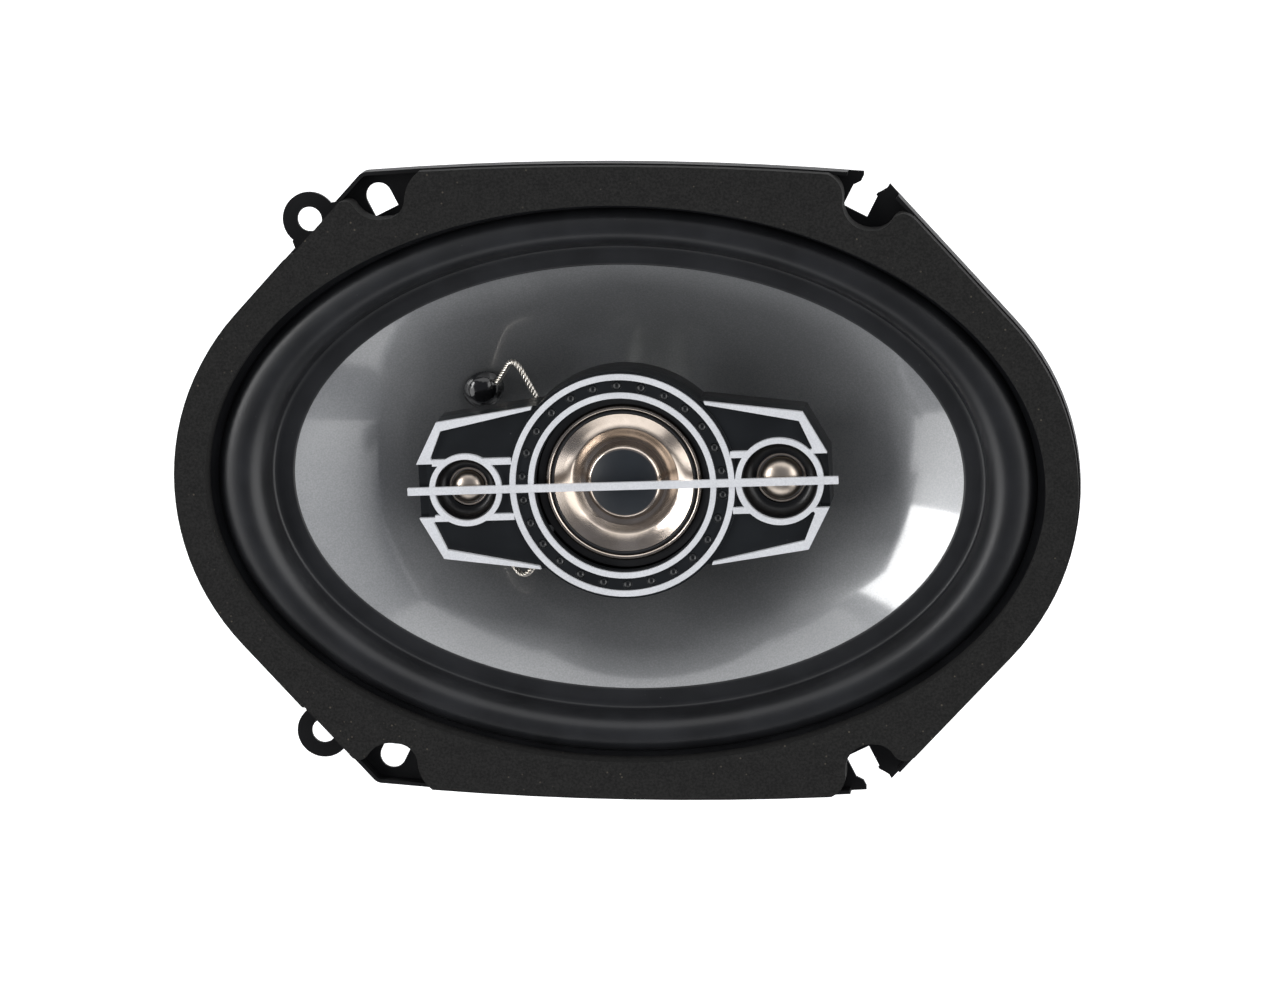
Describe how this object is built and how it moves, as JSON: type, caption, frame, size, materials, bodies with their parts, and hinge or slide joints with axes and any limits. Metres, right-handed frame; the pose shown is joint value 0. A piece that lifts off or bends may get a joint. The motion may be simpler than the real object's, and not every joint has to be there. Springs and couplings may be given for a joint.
{
  "type": "coaxial car speaker",
  "caption": "Oval coaxial car speaker with a stamped steel frame, coated oval cone, foam gasket and a central pod carrying a midrange and small dome tweeters.",
  "frame": {"origin": "centre of the flange's rear face, the face that lies on the door panel", "axes": "+Z is the way the sound leaves, +X runs along the long axis of the oval with the two round ears at -X, +Y completes the right-handed frame"},
  "size_m": [0.2248, 0.1596, 0.0765],
  "materials": {
    "black_steel": "satin black paint",
    "foam": "speckled matte foam",
    "surround_rubber": "satin",
    "silver_cone": "clear coated silver",
    "spider_cloth": "woven, varnished",
    "former_foil": "satin",
    "copper_wire": "enamelled copper",
    "adhesive": "glossy black",
    "brass": "satin",
    "zinc_steel": "zinc plated",
    "ferrite": "dull ground",
    "boot_rubber": "matte",
    "phenolic": "satin",
    "tinsel": "braided",
    "black_plastic": "satin",
    "silver_trim": "satin silver",
    "bronze_metal": "bright metallised",
    "charcoal_cap": "satin",
    "gloss_black": "high gloss",
    "capacitor_sleeve": "shrink sleeve",
    "black_zinc": "black zinc"
  },
  "bodies": {
    "frame_body": {"basket": "black_steel", "front_gasket": "foam", "surround": "surround_rubber", "spider": "spider_cloth", "front_plate": "zinc_steel", "frame_rivets": "zinc_steel", "magnet": "ferrite", "yoke": "zinc_steel", "magnet_boot": "boot_rubber", "terminal_board": "phenolic", "positive_terminal": "brass", "negative_terminal": "brass", "terminal_rivets": "brass", "positive_rear_lead": "tinsel", "negative_rear_lead": "tinsel", "upper_front_lead": "tinsel", "lower_front_lead": "tinsel", "tweeter_post": "zinc_steel", "pod_bolt": "zinc_steel", "pod_base": "black_plastic", "pod_bezel": "black_plastic", "silver_trim": "silver_trim", "pod_screws": "black_zinc", "pod_nut": "zinc_steel", "mid_frame": "black_plastic", "mid_rim_ring": "bronze_metal", "mid_surround": "surround_rubber", "mid_yoke": "zinc_steel", "mid_magnet": "ferrite", "mid_top_plate": "zinc_steel", "left_tweeter_cup": "gloss_black", "right_tweeter_cup": "gloss_black", "left_dome_ring": "bronze_metal", "right_dome_ring": "bronze_metal", "left_tweeter_motor": "zinc_steel", "right_tweeter_motor": "zinc_steel", "left_capacitor": "capacitor_sleeve", "right_capacitor": "capacitor_sleeve", "mid_capacitor": "capacitor_sleeve"},
    "cone_body": {"cone": "silver_cone", "voice_coil_former": "former_foil", "voice_coil": "copper_wire", "neck_joint": "adhesive", "cone_eyelets": "brass", "lead_glue": "adhesive"},
    "mid_body": {"mid_cone": "bronze_metal", "mid_cap": "charcoal_cap", "mid_centre_ring": "bronze_metal", "mid_coil": "copper_wire"},
    "left_dome_body": {"left_dome": "bronze_metal", "left_dome_coil": "copper_wire"},
    "right_dome_body": {"right_dome": "bronze_metal", "right_dome_coil": "copper_wire"}
  },
  "joints": [
    {"name": "cone_travel", "type": "slide", "parent": "frame_body", "child": "cone_body", "axis": [0, 0, 1], "range_m": [-0.004, 0.004], "stiffness_N_per_m": 2500, "deforming": ["surround", "spider", "positive_rear_lead", "negative_rear_lead", "upper_front_lead", "lower_front_lead"]},
    {"name": "mid_travel", "type": "slide", "parent": "frame_body", "child": "mid_body", "axis": [0, 0, 1], "range_m": [-0.0005, 0.0005], "stiffness_N_per_m": 2000, "deforming": ["mid_surround"]},
    {"name": "left_dome_travel", "type": "slide", "parent": "frame_body", "child": "left_dome_body", "axis": [0, 0, 1], "range_m": [-0.0002, 0.0002], "stiffness_N_per_m": 1500},
    {"name": "right_dome_travel", "type": "slide", "parent": "frame_body", "child": "right_dome_body", "axis": [0, 0, 1], "range_m": [-0.0002, 0.0002], "stiffness_N_per_m": 1500}
  ]
}
